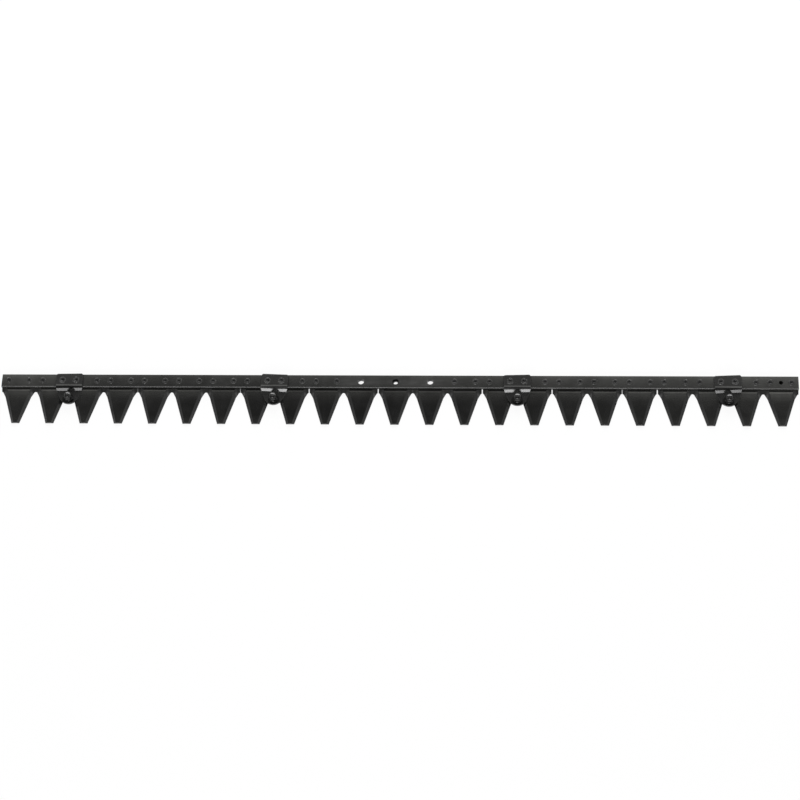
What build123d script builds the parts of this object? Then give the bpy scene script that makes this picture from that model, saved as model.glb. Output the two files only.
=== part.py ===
from build123d import *
from math import acos, atan2, degrees, hypot, radians, tan
import os

# Knife of a double-action mower cutter bar, in millimetres. X runs along the knife and
# the teeth point to -Y. The flat underside slides at Z = 0, and the origin is on the
# axis of the middle drive hole.

# Teeth, and the plates that carry one or two of them, from left to right
tooth_pitch = 50.0
teeth_on_plate = [2, 2, 1, 2, 2, 2, 1, 2, 2, 2, 1, 2, 2]
seam_slits = [0.4, 0.4, 0.1, 0.5, 1.3, 1.4, 0.1, 1.5, 1.4, 0.6, 1.6, 0.4]
end_setback = 0.2

# Section plates; every reach is measured forward from the front of the back bar
plate_thickness = 3.0
tooth_reach = 55.0
tip_width = 11.5
gap_root_reach = 5.0
gap_root_radius = 2.5
throat_reach = 13.3
throat_width = 12.0

# Ground bevels: the land left at the edge, and the raised flat inside them
edge_land = 0.3
flat_rear_reach = 1.0
flat_rear_width = 34.0
flat_tip_width = 5.0

# Back bar
bar_width = 20.0
bar_thickness = 5.0
bar_nose_radius = 1.6
bar_rear_break = 0.4

# Holes
rivet_spacing = 30.0
drive_hole_radius = 4.5
middle_hole_radius = 3.0
end_hole_radius = 3.0

# Rivets
rivet_radius = 3.0
rivet_head_radius = 4.75
rivet_head_angle = 90.0
rivet_rim_groove = 0.25
section_dimple_radius = 2.0
section_dimple_depth = 0.6
bracket_dimple_radius = 2.6
bracket_dimple_depth = 1.1

# Guide brackets: the gap that each one covers, and its turn in degrees on its rivets
bracket_gaps = [2, 8, 15, 21]
bracket_turns = [1.0, -2.2, 1.5, 2.5]
bracket_width = 38.5
flange_thickness = 3.0
flange_corner_radius = 2.5
flange_edge_radius = 0.5
bend_reach = -0.7
bend_radius = 3.0
bend_angle = 76.0
ramp_reach = 5.6
taper_reach = 2.5
tab_thickness = 3.0
tab_reach = 26.0
tab_end_radius = 14.0
bracket_clearance = 0.3

# Ball studs
ball_reach = 17.2
ball_radius = 6.1
ball_height = 7.5
neck_radius = 3.8
collar_radius = 5.4
collar_height = 1.2
collar_break = 0.4
shank_radius = 4.0
foot_radius = 5.5
foot_angle = 90.0

# What follows from the sizes above
tooth_count = sum(teeth_on_plate)
knife_length = tooth_pitch * tooth_count
bar_top = plate_thickness + bar_thickness
flange_top = bar_top + flange_thickness
tab_top = plate_thickness + tab_thickness
middle_tooth = (tooth_count + 1) // 2
drive_teeth = [middle_tooth - 1, middle_tooth, middle_tooth + 1]
overrun = 1.0  # how far a cutter runs past what it cuts


def forward(reach):
    """Y of a point that lies this far in front of the back bar."""
    return -bar_width / 2 - reach


def tooth_x(tooth):
    """Centre of a tooth; teeth are counted from 1 at the left end."""
    return (tooth - (tooth_count + 1) / 2) * tooth_pitch


def gap_x(gap):
    """Centre of the gap to the right of a tooth; gap 0 is the left end."""
    return tooth_x(gap) + tooth_pitch / 2


def rivet_pair(tooth):
    """X of the two rivets of a tooth."""
    return [tooth_x(tooth) - rivet_spacing / 2, tooth_x(tooth) + rivet_spacing / 2]


def on_bar(x_values, height):
    """Points on the centre line of the back bar."""
    return [(x, 0, height) for x in x_values]


def from_below(x_values):
    """Places on the underside that look down, for countersinks."""
    return [Location((x, 0, 0), (180, 0, 0)) for x in x_values]


bracket_rivet_x = [x for gap in bracket_gaps for x in (rivet_pair(gap)[1], rivet_pair(gap + 1)[0])]
flush_rivet_x = [x for tooth in drive_teeth for x in rivet_pair(tooth)]
section_rivet_x = [
    x
    for tooth in range(1, tooth_count + 1)
    for x in rivet_pair(tooth)
    if x not in bracket_rivet_x + flush_rivet_x
]
drive_hole_x = [tooth_x(tooth) for tooth in drive_teeth]


def gap_face(height, rear_edge, throat_half, tip_half):
    """Space between two teeth at one height. The rear edge runs from right to left."""
    flare = (tip_half - throat_half) / (tooth_reach - throat_reach)
    mouth_half = tip_half + flare * overrun
    with BuildSketch(Plane.XY.offset(height)) as face:
        with BuildLine():
            add(rear_edge)
            Polyline(
                rear_edge @ 1,
                (-throat_half, forward(throat_reach)),
                (-mouth_half, forward(tooth_reach + overrun)),
                (mouth_half, forward(tooth_reach + overrun)),
                (throat_half, forward(throat_reach)),
                rear_edge @ 0,
            )
        make_face()
    return face.sketch


def root_arc():
    """Round root of a gap, tangent to the straight sides that run to the throat."""
    centre = forward(gap_root_reach + gap_root_radius)
    throat_drop = centre - forward(throat_reach)
    to_throat = hypot(throat_width / 2, throat_drop)
    tangent_angle = degrees(acos(gap_root_radius / to_throat) - atan2(throat_drop, throat_width / 2))
    return CenterArc((0, centre), gap_root_radius, tangent_angle, 180 - 2 * tangent_angle)


# Cutter for one gap: straight through the thin land, then the bevel up to the flats
flat_rear_gap = (tooth_pitch - flat_rear_width) / 2
flat_tip_gap = (tooth_pitch - flat_tip_width) / 2
flat_share = (throat_reach - flat_rear_reach) / (tooth_reach - flat_rear_reach)
flat_throat_gap = flat_rear_gap + flat_share * (flat_tip_gap - flat_rear_gap)
flat_rear_edge = Line((flat_rear_gap, forward(flat_rear_reach)), (-flat_rear_gap, forward(flat_rear_reach)))
land_face = gap_face(edge_land, root_arc(), throat_width / 2, (tooth_pitch - tip_width) / 2)
flat_face = gap_face(plate_thickness, flat_rear_edge, flat_throat_gap, flat_tip_gap)

with BuildPart() as gap_cutter:
    extrude(land_face, amount=-edge_land - overrun)
    loft([land_face, flat_face], ruled=True)


def make_plate(first_tooth, teeth, left_setback, right_setback):
    """Section plate with one or two bevelled teeth, cut between the middles of two gaps."""
    left = gap_x(first_tooth - 1) + left_setback
    right = gap_x(first_tooth + teeth - 1) - right_setback
    own_teeth = range(first_tooth, first_tooth + teeth)
    with BuildPart() as plate:
        with BuildSketch(Plane.YZ.offset(left)):
            with BuildLine():
                Polyline(
                    (bar_width / 2, 0),
                    (bar_width / 2, plate_thickness),
                    (forward(tooth_reach), plate_thickness),
                    (forward(tooth_reach), 0),
                    close=True,
                )
            make_face()
        extrude(amount=right - left)
        with Locations(*[(gap_x(gap), 0, 0) for gap in range(first_tooth - 1, first_tooth + teeth)]):
            add(gap_cutter.part, mode=Mode.SUBTRACT)
        with Locations(*from_below([x for tooth in own_teeth for x in rivet_pair(tooth)])):
            CounterSinkHole(rivet_radius, rivet_head_radius, counter_sink_angle=rivet_head_angle)
        for tooth in own_teeth:
            if tooth in drive_teeth:
                with Locations((tooth_x(tooth), 0, plate_thickness)):
                    Hole(middle_hole_radius if tooth == middle_tooth else drive_hole_radius)
    return plate.part


def make_rivets(x_values, top, dimple_radius=None, dimple_depth=None):
    """Group of rivets, countersunk at both ends. A dimpled one has a grooved rim too."""
    sink = (rivet_head_radius - rivet_radius) / tan(radians(rivet_head_angle / 2))
    rim = [(rivet_head_radius, top)]
    if dimple_radius:
        rim = [
            (rivet_head_radius - rivet_rim_groove, top - rivet_rim_groove),
            (rivet_head_radius - 2 * rivet_rim_groove, top),
        ]
    with BuildPart() as rivet:
        with BuildSketch(Plane.XZ):
            with BuildLine():
                Polyline(
                    (0, 0),
                    (rivet_head_radius, 0),
                    (rivet_radius, sink),
                    (rivet_radius, top - sink),
                    *rim,
                    (0, top),
                    close=True,
                )
            make_face()
        revolve(axis=Axis.Z)
        if dimple_radius:
            punch_radius = (dimple_radius**2 + dimple_depth**2) / (2 * dimple_depth)
            with Locations((0, 0, top - dimple_depth + punch_radius)):
                Sphere(punch_radius, mode=Mode.SUBTRACT)
    with BuildPart() as group:
        with Locations(*on_bar(x_values, 0)):
            add(rivet.part)
    return group.part


def bracket_seat(gap, turn):
    """Plane of one bracket, turned about the point midway between its rivets."""
    return Plane(Location((gap_x(gap), 0, 0), (0, 0, turn)))


def make_bracket(gap, turn):
    """Forged bracket: a flange on the bar, a bend and ramp down, and a tab for the ball."""
    seat = bracket_seat(gap, turn)
    side = Plane(seat.origin, x_dir=seat.y_dir, z_dir=seat.x_dir)
    rear = bar_width / 2
    stud = seat.from_local_coords((0, forward(ball_reach), plate_thickness))
    with BuildPart() as bracket:
        with BuildSketch(side):
            with BuildLine():
                bend_centre = (forward(bend_reach), flange_top - bend_radius)
                bend = CenterArc(bend_centre, bend_radius, 90, bend_angle)
                Polyline(
                    bend @ 1,
                    (forward(ramp_reach), tab_top),
                    (forward(tab_reach), tab_top),
                    (forward(tab_reach), plate_thickness),
                    (rear, plate_thickness),
                    (rear, flange_top),
                    bend @ 0,
                )
            make_face()
        extrude(amount=bracket_width / 2, both=True)
        with BuildSketch(seat.offset(plate_thickness)) as plan:
            with BuildLine():
                Polyline(
                    (-bracket_width / 2, forward(taper_reach)),
                    (-bracket_width / 2, rear),
                    (bracket_width / 2, rear),
                    (bracket_width / 2, forward(taper_reach)),
                )
                CenterArc((0, forward(tab_reach - tab_end_radius)), tab_end_radius, 0, 360)
            make_hull()
            fillet(plan.vertices().group_by(Axis.Y)[-1], flange_corner_radius)
        extrude(amount=flange_top - plate_thickness, mode=Mode.INTERSECT)
        flange_edges = bracket.edges().group_by(Axis.Z)[-1].sort_by(Axis.Y)[1:]
        fillet(flange_edges, flange_edge_radius)
        with Locations((gap_x(gap), forward(bracket_clearance), plate_thickness)):
            Box(
                2 * bracket_width,
                2 * bar_width,
                bar_thickness,
                align=(Align.CENTER, Align.MIN, Align.MIN),
                mode=Mode.SUBTRACT,
            )
        with Locations(*on_bar((rivet_pair(gap)[1], rivet_pair(gap + 1)[0]), flange_top)):
            CounterSinkHole(rivet_radius, rivet_head_radius, counter_sink_angle=rivet_head_angle)
        with Locations(Location(stud, (180, 0, 0))):
            CounterSinkHole(shank_radius, foot_radius, counter_sink_angle=foot_angle)
    return bracket.part


def make_ball_stud(gap, turn):
    """Ball stud set through the tab, with its foot flush with the tab's underside."""
    centre = tab_top + ball_height
    neck_angle = degrees(acos(neck_radius / ball_radius))
    sink = (foot_radius - shank_radius) / tan(radians(foot_angle / 2))
    with BuildPart() as upright:
        with BuildSketch(Plane.XZ):
            with BuildLine():
                ball = CenterArc((0, centre), ball_radius, -neck_angle, 90 + neck_angle)
                Polyline(
                    ball @ 1,
                    (0, plate_thickness),
                    (foot_radius, plate_thickness),
                    (shank_radius, plate_thickness + sink),
                    (shank_radius, tab_top),
                    (collar_radius, tab_top),
                    (collar_radius, tab_top + collar_height - collar_break),
                    (collar_radius - collar_break, tab_top + collar_height),
                    (neck_radius, tab_top + collar_height),
                    ball @ 0,
                )
            make_face()
        revolve(axis=Axis.Z)
    with BuildPart() as stud:
        with Locations(bracket_seat(gap, turn).from_local_coords((0, forward(ball_reach), 0))):
            add(upright.part)
    return stud.part


# Back bar: a flat bar with a rounded front edge, riveted through to the plates
with BuildPart() as back_bar:
    with Locations((0, 0, plate_thickness)):
        Box(knife_length, bar_width, bar_thickness, align=(Align.CENTER, Align.CENTER, Align.MIN))
    top_edges = back_bar.edges().filter_by(Axis.X).group_by(Axis.Z)[-1].sort_by(Axis.Y)
    fillet(top_edges[0], bar_nose_radius)
    chamfer(top_edges[-1], bar_rear_break)
    with Locations(*on_bar(section_rivet_x + flush_rivet_x, bar_top)):
        CounterSinkHole(rivet_radius, rivet_head_radius, counter_sink_angle=rivet_head_angle)
    with Locations(*on_bar(bracket_rivet_x, bar_top)):
        Hole(rivet_radius)
    with Locations(*on_bar(drive_hole_x, bar_top)):
        Hole(drive_hole_radius)
    with Locations((tooth_x(tooth_count), 0, bar_top)):
        Hole(end_hole_radius)

pieces = {
    "back_bar": back_bar.part,
    "section_rivets": make_rivets(
        section_rivet_x, bar_top, section_dimple_radius, section_dimple_depth
    ),
    "flush_rivets": make_rivets(flush_rivet_x, bar_top),
    "bracket_rivets": make_rivets(
        bracket_rivet_x, flange_top, bracket_dimple_radius, bracket_dimple_depth
    ),
}

# Neighbouring plates share each slit equally
setbacks = [end_setback] + [slit / 2 for slit in seam_slits] + [end_setback]
first_tooth = 1
for index, teeth in enumerate(teeth_on_plate):
    plate = make_plate(first_tooth, teeth, setbacks[index], setbacks[index + 1])
    pieces[f"section_{index + 1:02d}"] = plate
    first_tooth += teeth

for number, (gap, turn) in enumerate(zip(bracket_gaps, bracket_turns), start=1):
    pieces[f"bracket_{number}"] = make_bracket(gap, turn)
    pieces[f"ball_stud_{number}"] = make_ball_stud(gap, turn)

os.makedirs("parts", exist_ok=True)
for name, piece in pieces.items():
    piece.label = name
    export_step(piece, f"parts/{name}.step")
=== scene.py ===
from math import cos, pi, radians, sin

import bpy
from mathutils import Matrix, Vector

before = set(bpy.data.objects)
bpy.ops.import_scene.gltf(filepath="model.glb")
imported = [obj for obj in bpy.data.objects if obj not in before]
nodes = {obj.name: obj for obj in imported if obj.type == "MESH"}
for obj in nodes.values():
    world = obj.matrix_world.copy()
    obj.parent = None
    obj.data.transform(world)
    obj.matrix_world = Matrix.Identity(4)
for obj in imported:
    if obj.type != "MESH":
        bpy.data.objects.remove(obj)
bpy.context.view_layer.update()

# Places in metres: X runs along the bar from the middle tooth, and the tips point along -Y
HALF_PITCH = 0.025
BAR_HALF_WIDTH = 0.010
RIVET_HALF_SPACING = 0.015
BRACKETS_MIDWAY = 0.325
BRACKETS_HALF_APART = 0.150

# Tones are shares of white, each at a place in millimetres. A drift is a share of the tone:
# painted light, lighter towards both ends.
# Bar: from its front edge to its rear, lighter to the rear by painted light, and from its left
# end to its right
BAR_TONES_AND_LIGHT = ((-10.0, 0.019), (-4.0, 0.027), (3.0, 0.035), (8.0, 0.050))
BAR_LIGHT_DRIFT = (
    (-575, 1.4),
    (-480, 1.1),
    (-380, 0.64),
    (-230, 0.66),
    (-60, 0.8),
    (180, 1.0),
    (400, 1.15),
    (575, 1.6),
)
RUBBED_BAR_TONE = 0.054
# Painted shade on the walls of the holes
HOLE_WALL_SHADE_TONE = 0.02
# Painted shadow beside the brackets
BRACKET_SHADOW_TONE = 0.005

# Sections, forward from the front of the bar: the flats, with painted shade along the bar, a line
# of painted reflection just in front of it and darker forward, then the bevels and gap roots
FLAT_TONES_AND_LIGHT = (
    (2.2, 0.006),
    (3.1, 0.085),
    (4.3, 0.085),
    (5.2, 0.035),
    (8.5, 0.025),
    (12.0, 0.017),
    (18.0, 0.010),
    (26.0, 0.007),
    (42.0, 0.006),
    (50.0, 0.010),
    (55.0, 0.010),
)
BEVEL_TONES = (
    (1.0, 0.026),
    (5.0, 0.025),
    (8.0, 0.012),
    (14.0, 0.011),
    (18.0, 0.005),
    (55.0, 0.005),
)
# Painted light on the flats, lighter towards both ends
SECTION_LIGHT_DRIFT = (
    (-575, 1.8),
    (-450, 1.35),
    (-250, 1.0),
    (0, 0.85),
    (150, 1.1),
    (350, 1.5),
    (575, 2.1),
)
# The flat between the bevels: half its width at the bar, and what it loses per metre forward
FLAT_HALF_WIDTH = 0.0173
FLAT_TAPER = 0.2685

# Bracket: from the end of its tab to the rear of its flange, with a painted highlight along the
# front bend of the flange and painted shade on the drop in front of it
BRACKET_TONES_AND_LIGHT = (
    (-36.0, 0.019),
    (-17.0, 0.017),
    (-15.0, 0.014),
    (-11.0, 0.007),
    (-9.6, 0.014),
    (-9.2, 0.083),
    (-7.6, 0.071),
    (-6.8, 0.024),
    (12.0, 0.031),
)
# Painted shade and reflection of the ball round its foot: its tone, and the place along Y of its
# middle
BALL_SHADE_TONE = 0.002
BALL_SHADE_Y = -0.0295

# Rivet: painted shade in its dimple, and its head from there to the rim
DIMPLE_SHADE_TONE = 0.002
HEAD_TONES = ((2.7, 0.029), (3.3, 0.026), (3.8, 0.054), (4.4, 0.054), (4.8, 0.018))

WORN_TONE = 0.07
BALL_TONE = 0.007

# Specular level at which a surface mirrors as its IOR says
FULL_MIRROR = 0.5


class Graph:
    """A node tree whose nodes are added one call at a time."""

    def __init__(self, tree, place):
        self.tree = tree
        self.place = self.node("ShaderNodeTexCoord").outputs[place]

    def node(self, kind, **settings):
        made = self.tree.nodes.new(kind)
        for name, value in settings.items():
            setattr(made, name, value)
        return made

    def join(self, source, target):
        self.tree.links.new(source, target)

    def noise(self, scale, detail=4.0, stretch=(1, 1, 1)):
        """Noise whose features are about 1 / scale metres across."""
        mapping = self.node("ShaderNodeMapping")
        mapping.inputs["Scale"].default_value = stretch
        texture = self.node("ShaderNodeTexNoise")
        texture.inputs["Scale"].default_value = scale
        texture.inputs["Detail"].default_value = detail
        self.join(self.place, mapping.inputs["Vector"])
        self.join(mapping.outputs["Vector"], texture.inputs["Vector"])
        return texture.outputs["Fac"]

    def spread(self, value, start, end, low=0.0, high=1.0, interpolation="SMOOTHSTEP"):
        """Maps start..end to low..high and clamps beyond them."""
        ramp = self.node("ShaderNodeMapRange", interpolation_type=interpolation)
        limits = {"From Min": start, "From Max": end, "To Min": low, "To Max": high}
        for name, number in limits.items():
            ramp.inputs[name].default_value = number
        self.join(value, ramp.inputs["Value"])
        return ramp.outputs["Result"]

    def mottle(self, noise, low, high):
        """Maps a noise to low..high, with most of it in between."""
        return self.spread(noise, 0.3, 0.7, low, high)

    def tones(self, value, stops):
        """Grey that follows stops of (thousandths of the value's unit, share of white)."""
        first, last = stops[0][0], stops[-1][0]
        share = self.spread(value, first / 1000, last / 1000, interpolation="LINEAR")
        ramp = self.node("ShaderNodeValToRGB")
        elements = ramp.color_ramp.elements
        while len(elements) < len(stops):
            elements.new(0.5)
        for element, (place, tone) in zip(elements, stops):
            element.position = (place - first) / (last - first)
            element.color = (*grey(tone), 1)
        self.join(share, ramp.inputs["Fac"])
        return ramp.outputs["Color"]

    def product(self, first, second):
        """One colour or vector times another."""
        made = self.node("ShaderNodeVectorMath", operation="MULTIPLY")
        self.join(first, made.inputs[0])
        self.join(second, made.inputs[1])
        return made.outputs["Vector"]

    def maths(self, operation, *values):
        """Arithmetic on values that are each a socket or a number."""
        made = self.node("ShaderNodeMath", operation=operation)
        for socket, value in zip(made.inputs, values):
            if isinstance(value, (int, float)):
                socket.default_value = value
            else:
                self.join(value, socket)
        return made.outputs["Value"]

    def magnitude(self, value):
        """The value without its sign."""
        return self.maths("ABSOLUTE", value)

    def distance(self, first, second):
        """Length of the hypotenuse over two sides."""
        squares = (self.maths("POWER", side, 2.0) for side in (first, second))
        return self.maths("SQRT", self.maths("ADD", *squares))

    def mix(self, share, first, second):
        """Blend of two colours, each a socket or three numbers."""
        made = self.node("ShaderNodeMix", data_type="RGBA")
        self.join(share, made.inputs["Factor"])
        for socket, value in ((made.inputs["A"], first), (made.inputs["B"], second)):
            if isinstance(value, tuple):
                socket.default_value = (*value, 1.0)
            else:
                self.join(value, socket)
        return made.outputs["Result"]

    def split(self, vector):
        """The X, Y and Z outputs of a vector."""
        made = self.node("ShaderNodeSeparateXYZ")
        self.join(vector, made.inputs["Vector"])
        return made.outputs

    def along(self, axis):
        """Place along X, Y or Z in metres."""
        return self.split(self.place)[axis]

    def upright(self):
        """1 on an upright face, 0 on a level one."""
        normal = self.node("ShaderNodeNewGeometry").outputs["True Normal"]
        return self.spread(self.magnitude(self.split(normal)["Z"]), 0.7, 0.3)

    def rounded(self, radius):
        """Normal that rounds every edge by this radius, in metres."""
        bevel = self.node("ShaderNodeBevel", samples=6)
        bevel.inputs["Radius"].default_value = radius
        return bevel.outputs["Normal"]

    def edges(self, normal):
        """1 on a rounded edge, 0 on a flat face."""
        true_normal = self.node("ShaderNodeNewGeometry").outputs["Normal"]
        dot = self.node("ShaderNodeVectorMath", operation="DOT_PRODUCT")
        self.join(normal, dot.inputs[0])
        self.join(true_normal, dot.inputs[1])
        return self.spread(dot.outputs["Value"], 0.995, 0.90)

    def bump(self, height, strength, normal):
        """Normal with relief two micrometres deep."""
        made = self.node("ShaderNodeBump")
        made.inputs["Strength"].default_value = strength
        made.inputs["Distance"].default_value = 0.000002
        self.join(height, made.inputs["Height"])
        if normal:
            self.join(normal, made.inputs["Normal"])
        return made.outputs["Normal"]


class Shader(Graph):
    """A material with one main surface."""

    def __init__(self, name):
        self.material = bpy.data.materials.new(name)
        self.material.use_nodes = True
        super().__init__(self.material.node_tree, "Object")
        self.surface = self.tree.nodes["Principled BSDF"]

    def set(self, name, value):
        self.surface.inputs[name].default_value = value

    def feed(self, name, source):
        self.join(source, self.surface.inputs[name])

    def dull(self, share, loss, mirror=FULL_MIRROR):
        """Lowers the specular level by this loss where the share is 1."""
        loss_here = self.maths("MULTIPLY", share, loss)
        self.feed("Specular IOR Level", self.maths("SUBTRACT", mirror, loss_here))

    def roughen(self, share, least):
        """Makes the surface at least this rough where the share is 1."""
        rough = self.surface.inputs["Roughness"].links[0].from_socket
        least_here = self.maths("MULTIPLY", share, least)
        self.feed("Roughness", self.maths("MAXIMUM", rough, least_here))


def grey(tone):
    """Paint of this tone, a little warmer than neutral."""
    return (tone, tone, tone * 0.97)


def enamel(s, tone, rough, wear=0.0, edge=0.0):
    """Finishes a shader as black enamel: cloudy, with a faint orange peel and rubbed edges."""
    cloudy = s.node("ShaderNodeVectorMath", operation="SCALE")
    s.join(tone, cloudy.inputs[0])
    s.join(s.mottle(s.noise(38.0), 0.86, 1.16), cloudy.inputs["Scale"])
    colour = cloudy.outputs["Vector"]
    normal = None
    if edge:
        normal = s.rounded(edge)
        rubbed = s.spread(s.noise(260.0, stretch=(0.25, 1, 1)), 0.40, 0.65, 0.3 * wear, wear)
        rubbed = s.maths("MULTIPLY", s.edges(normal), rubbed)
        colour = s.mix(rubbed, colour, grey(WORN_TONE))
    s.feed("Base Color", colour)
    s.feed("Roughness", s.mottle(s.noise(70.0), *rough))
    s.feed("Normal", s.bump(s.noise(420.0, detail=2.0), 0.25, normal))
    s.set("Metallic", 0.0)
    s.set("IOR", 1.7)


def bar_enamel():
    """Painted light, lighter towards the rear edge and the ends, painted shadow beside the
    brackets, painted shade on the hole walls, rubbed round the drive holes.
    """
    s = Shader("bar_enamel")
    from_middle = s.magnitude(s.along("X"))
    tone = s.product(s.tones(s.along("Y"), BAR_TONES_AND_LIGHT), s.tones(s.along("X"), BAR_LIGHT_DRIFT))

    # Painted shadow of each bracket on the bar, in a narrow band beside its flange
    from_midway = s.magnitude(s.maths("SUBTRACT", from_middle, BRACKETS_MIDWAY))
    from_bracket = s.magnitude(s.maths("SUBTRACT", from_midway, BRACKETS_HALF_APART))
    bracket_shadow = s.spread(from_bracket, 0.0208, 0.0196, high=0.5)
    tone = s.mix(bracket_shadow, tone, grey(BRACKET_SHADOW_TONE))

    near_holes = s.spread(from_middle, 0.095, 0.060)
    from_line = s.magnitude(s.maths("ADD", s.along("Y"), 0.002))
    rub = s.maths("MULTIPLY", near_holes, s.spread(from_line, 0.007, 0.003))
    streaks = s.spread(s.noise(120.0, stretch=(0.3, 1, 1)), 0.35, 0.65, 0.2, 0.7)
    tone = s.mix(s.maths("MULTIPLY", rub, streaks), tone, grey(RUBBED_BAR_TONE))

    # Painted shade on the walls of the holes through the bar, whose mirror is also dulled
    inside_bar = s.spread(s.magnitude(s.along("Y")), 0.0094, 0.0088)
    shaded_hole_wall = s.maths("MULTIPLY", s.upright(), inside_bar)
    enamel(s, s.mix(shaded_hole_wall, tone, grey(HOLE_WALL_SHADE_TONE)), rough=(0.17, 0.24))
    s.dull(shaded_hole_wall, 0.45)
    return s.material


def section_enamel():
    """Dark bevels round a flat with painted shade and a line of painted reflection along the bar,
    and painted light towards the ends, with dull roots between teeth.
    """
    s = Shader("section_enamel")
    forward = s.maths("SUBTRACT", s.maths("MULTIPLY", s.along("Y"), -1.0), BAR_HALF_WIDTH)
    from_tooth = s.maths("PINGPONG", s.along("X"), HALF_PITCH)
    flat_half = s.maths("SUBTRACT", FLAT_HALF_WIDTH, s.maths("MULTIPLY", forward, FLAT_TAPER))
    on_flat = s.spread(s.maths("SUBTRACT", flat_half, from_tooth), -0.0006, 0.0006)
    # The line of painted reflection lies 0.4 mm nearer to the bar at the left
    reflection_line_place = s.maths("ADD", forward, s.spread(s.along("X"), -0.5, 0.1, 0.0004, 0.0))
    flat = s.product(s.tones(reflection_line_place, FLAT_TONES_AND_LIGHT), s.tones(s.along("X"), SECTION_LIGHT_DRIFT))
    tone = s.mix(on_flat, s.tones(forward, BEVEL_TONES), flat)
    enamel(s, tone, rough=(0.12, 0.18), wear=0.3, edge=0.0003)

    off_flat = s.maths("SUBTRACT", 1.0, on_flat)
    root = s.maths("MULTIPLY", s.spread(forward, 0.0085, 0.0035), off_flat)
    under_bar = s.spread(forward, -0.0002, -0.0010)
    s.dull(s.maths("MAXIMUM", root, under_bar), 0.35)
    return s.material


def bracket_enamel():
    """Painted highlight along the flange, dull bend, shiny ramp, and painted shade and reflection
    of the ball round its foot.
    """
    s = Shader("bracket_enamel")
    y = s.along("Y")
    from_gap = s.maths("SUBTRACT", HALF_PITCH, s.maths("PINGPONG", s.along("X"), HALF_PITCH))
    # Painted shade and reflection of the ball, a dark disc round its foot on the tab, longer
    # along Y by a ninth
    ahead = s.maths("MULTIPLY", s.maths("SUBTRACT", y, BALL_SHADE_Y), 0.9)
    ball_shade = s.spread(s.distance(from_gap, ahead), 0.0092, 0.0076, high=0.9)
    tone = s.mix(ball_shade, s.tones(y, BRACKET_TONES_AND_LIGHT), grey(BALL_SHADE_TONE))
    enamel(s, tone, rough=(0.12, 0.18), wear=0.3, edge=0.0005)

    before_flange = s.spread(y, -0.0093, -0.0099)
    bend = s.maths("MULTIPLY", before_flange, s.spread(s.along("Z"), 0.0084, 0.0090))
    s.roughen(bend, 0.6)

    # The ramps of the inner brackets are the shiniest, and that of the left one the dullest
    ramp = s.maths("MULTIPLY", s.spread(y, -0.0180, -0.0172), s.spread(y, -0.0105, -0.0115))
    inner = s.maths("MULTIPLY", s.spread(s.magnitude(s.along("X")), 0.40, 0.25), 0.22)
    leftmost = s.maths("MULTIPLY", s.spread(s.along("X"), -0.35, -0.45), 0.14)
    polish = s.maths("MULTIPLY", ramp, s.maths("SUBTRACT", inner, leftmost))
    s.dull(bend, 0.4, mirror=s.maths("ADD", FULL_MIRROR, polish))
    return s.material


def rivet_enamel(name, dimple_radius):
    """Painted shade in the dimple, which is also dull and rough, and a lighter rim."""
    s = Shader(name)
    from_tooth = s.maths("PINGPONG", s.along("X"), HALF_PITCH)
    from_rivet = s.maths("SUBTRACT", from_tooth, RIVET_HALF_SPACING)
    radius = s.distance(from_rivet, s.along("Y"))
    dimple_shade = s.spread(radius, 1.15 * dimple_radius, 0.85 * dimple_radius)
    tone = s.mix(dimple_shade, s.tones(radius, HEAD_TONES), grey(DIMPLE_SHADE_TONE))
    enamel(s, tone, rough=(0.15, 0.22), wear=0.2, edge=0.0002)
    s.roughen(dimple_shade, 0.5)
    s.dull(dimple_shade, 0.35)
    return s.material


def ball_steel():
    """Blackened steel, with a dull film of grease on the front of each ball."""
    s = Shader("ball_steel_dark")
    turned = s.noise(500.0, stretch=(1, 1, 3))
    handled = s.spread(s.noise(160.0), 0.4, 0.65)
    s.feed("Base Color", s.mix(handled, grey(BALL_TONE), grey(BALL_TONE * 2)))
    s.feed("Roughness", s.mottle(turned, 0.10, 0.16))
    s.feed("Normal", s.bump(turned, 0.2, s.rounded(0.0002)))
    s.set("Metallic", 0.0)
    s.set("IOR", 1.6)
    s.dull(s.spread(s.along("Y"), -0.0280, -0.0300), 0.24)
    return s.material


def floor_paper():
    """White to the eye and in reflections, with the soft shadow kept."""
    s = Shader("floor_paper")
    s.set("Base Color", (0.97, 0.97, 0.97, 1))
    s.set("Roughness", 0.9)
    s.set("Specular IOR Level", 0.0)
    glow = s.node("ShaderNodeEmission")
    seen = s.node("ShaderNodeLightPath").outputs
    either = s.maths("MAXIMUM", seen["Is Camera Ray"], seen["Is Glossy Ray"])
    either = s.maths("MAXIMUM", either, seen["Is Transmission Ray"])
    blend = s.node("ShaderNodeMixShader")
    s.join(s.maths("MULTIPLY", either, 0.9), blend.inputs["Fac"])
    s.join(s.surface.outputs["BSDF"], blend.inputs[1])
    s.join(glow.outputs["Emission"], blend.inputs[2])
    s.join(blend.outputs["Shader"], s.tree.nodes["Material Output"].inputs["Surface"])
    return s.material


def finish_node(name, material):
    """Gives a node of the frame its material."""
    slots = nodes[name].data.materials
    for index in range(len(slots)):
        slots[index] = material


bar_paint = bar_enamel()
section_paint = section_enamel()
bracket_paint = bracket_enamel()
section_rivet_paint = rivet_enamel("section_rivet_enamel", dimple_radius=0.0020)
bracket_rivet_paint = rivet_enamel("bracket_rivet_enamel", dimple_radius=0.0023)
ball_finish = ball_steel()

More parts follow.
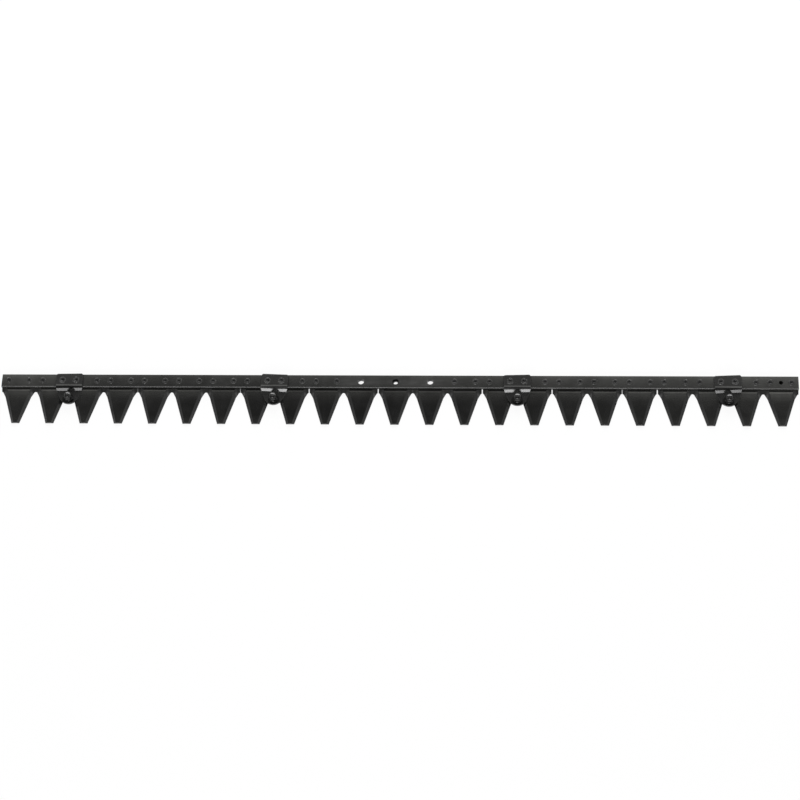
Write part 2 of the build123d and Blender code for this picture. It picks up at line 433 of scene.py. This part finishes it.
for name in nodes:
    if name.startswith("section_") and name != "section_rivets":
        finish_node(name, section_paint)
    elif name.startswith("bracket_") and name != "bracket_rivets":
        finish_node(name, bracket_paint)
    elif name.startswith("ball_stud"):
        finish_node(name, ball_finish)
finish_node("back_bar", bar_paint)
finish_node("flush_rivets", bar_paint)
finish_node("section_rivets", section_rivet_paint)
finish_node("bracket_rivets", bracket_rivet_paint)

# Floor, a hair under the knife
FLOOR_REACH = 6.0
FLOOR_Z = -0.0002
floor_mesh = bpy.data.meshes.new("floor")
sides = ((-1, -1), (1, -1), (1, 1), (-1, 1))
corners = [(x * FLOOR_REACH, y * FLOOR_REACH, FLOOR_Z) for x, y in sides]
floor_mesh.from_pydata(corners, [], [(0, 1, 2, 3)])
floor = bpy.data.objects.new("floor", floor_mesh)
floor_mesh.materials.append(floor_paper())
bpy.context.scene.collection.objects.link(floor)

SOFTBOX_DISTANCE = 3.2


def softbox(name, azimuth, elevation, width, height, radiance):
    """Flat lamp that faces the origin. Azimuth 0 is in front of the teeth, 180 behind the bar."""
    lamp = bpy.data.lights.new(name, "AREA")
    lamp.shape = "RECTANGLE"
    lamp.size = width
    lamp.size_y = height
    lamp.energy = radiance * pi * width * height
    holder = bpy.data.objects.new(name, lamp)
    a, e = radians(azimuth), radians(elevation)
    away = Vector((sin(a) * cos(e), -cos(a) * cos(e), sin(e)))
    holder.location = away * SOFTBOX_DISTANCE
    holder.rotation_mode = "QUATERNION"
    holder.rotation_quaternion = (-away).to_track_quat("-Z", "Y")
    holder.visible_camera = False
    bpy.context.scene.collection.objects.link(holder)


softbox("front_strip", azimuth=-4, elevation=31, width=2.4, height=1.0, radiance=5.2)
softbox("rear_box", azimuth=177, elevation=27, width=5.0, height=2.0, radiance=5.0)

# Light of the room by degrees from straight up, negative behind the bar
ROOM_LIGHT = (
    (-90, 0.8),
    (-60, 0.5),
    (-42, 0.12),
    (-22, 0.08),
    (-15, 0.5),
    (-7, 1.0),
    (2, 0.9),
    (14, 0.12),
    (44, 0.10),
    (60, 0.9),
    (90, 1.2),
)
WALL_LIGHT = 0.4


def studio_world():
    """Room with a soft band of light overhead and dim walls at both ends, white to the eye."""
    world = bpy.data.worlds.new("studio")
    world.use_nodes = True
    bpy.context.scene.world = world
    g = Graph(world.node_tree, "Generated")
    toward = g.split(g.place)
    lean = g.maths("ARCTAN2", g.maths("MULTIPLY", toward["Y"], -1.0), toward["Z"])
    # Thousands of degrees, so that the stops are in degrees
    lean = g.maths("MULTIPLY", lean, 0.180 / pi)
    fade = g.spread(g.magnitude(toward["X"]), 0.5, 0.8, 1.0, 0.5)
    overhead = g.product(g.tones(lean, ROOM_LIGHT), fade)
    right = g.spread(toward["X"], 0.6, 0.95, high=WALL_LIGHT)
    left = g.spread(toward["X"], -0.65, -0.95, high=WALL_LIGHT)
    room = g.tree.nodes["Background"]
    room.inputs["Color"].default_value = (1, 1, 1, 1)
    walls = g.maths("ADD", right, left)
    g.join(g.maths("ADD", overhead, walls), room.inputs["Strength"])
    white = g.node("ShaderNodeBackground")
    white.inputs["Color"].default_value = (1, 1, 1, 1)
    white.inputs["Strength"].default_value = 1.0
    seen = g.node("ShaderNodeLightPath").outputs
    choice = g.node("ShaderNodeMixShader")
    g.join(seen["Is Camera Ray"], choice.inputs["Fac"])
    g.join(room.outputs["Background"], choice.inputs[1])
    g.join(white.outputs["Background"], choice.inputs[2])
    g.join(choice.outputs["Shader"], g.tree.nodes["World Output"].inputs["Surface"])


studio_world()

# Camera, fitted to the teeth, rivets and holes of the photograph
CAMERA_PLACE = (0.200569, -1.321766, 2.719921)
CAMERA_HEADING = 8.502
CAMERA_DROP = 64.274
CAMERA_ROLL = -7.462
camera_data = bpy.data.cameras.new("camera")
camera_data.sensor_width = 36.0
camera_data.lens = 94.442
camera = bpy.data.objects.new("camera", camera_data)
camera.matrix_world = (
    Matrix.Translation(CAMERA_PLACE)
    @ Matrix.Rotation(radians(CAMERA_HEADING), 4, "Z")
    @ Matrix.Rotation(radians(90 - CAMERA_DROP), 4, "X")
    @ Matrix.Rotation(radians(CAMERA_ROLL), 4, "Z")
)
bpy.context.scene.collection.objects.link(camera)
bpy.context.scene.camera = camera

bpy.context.scene.view_settings.view_transform = "Standard"
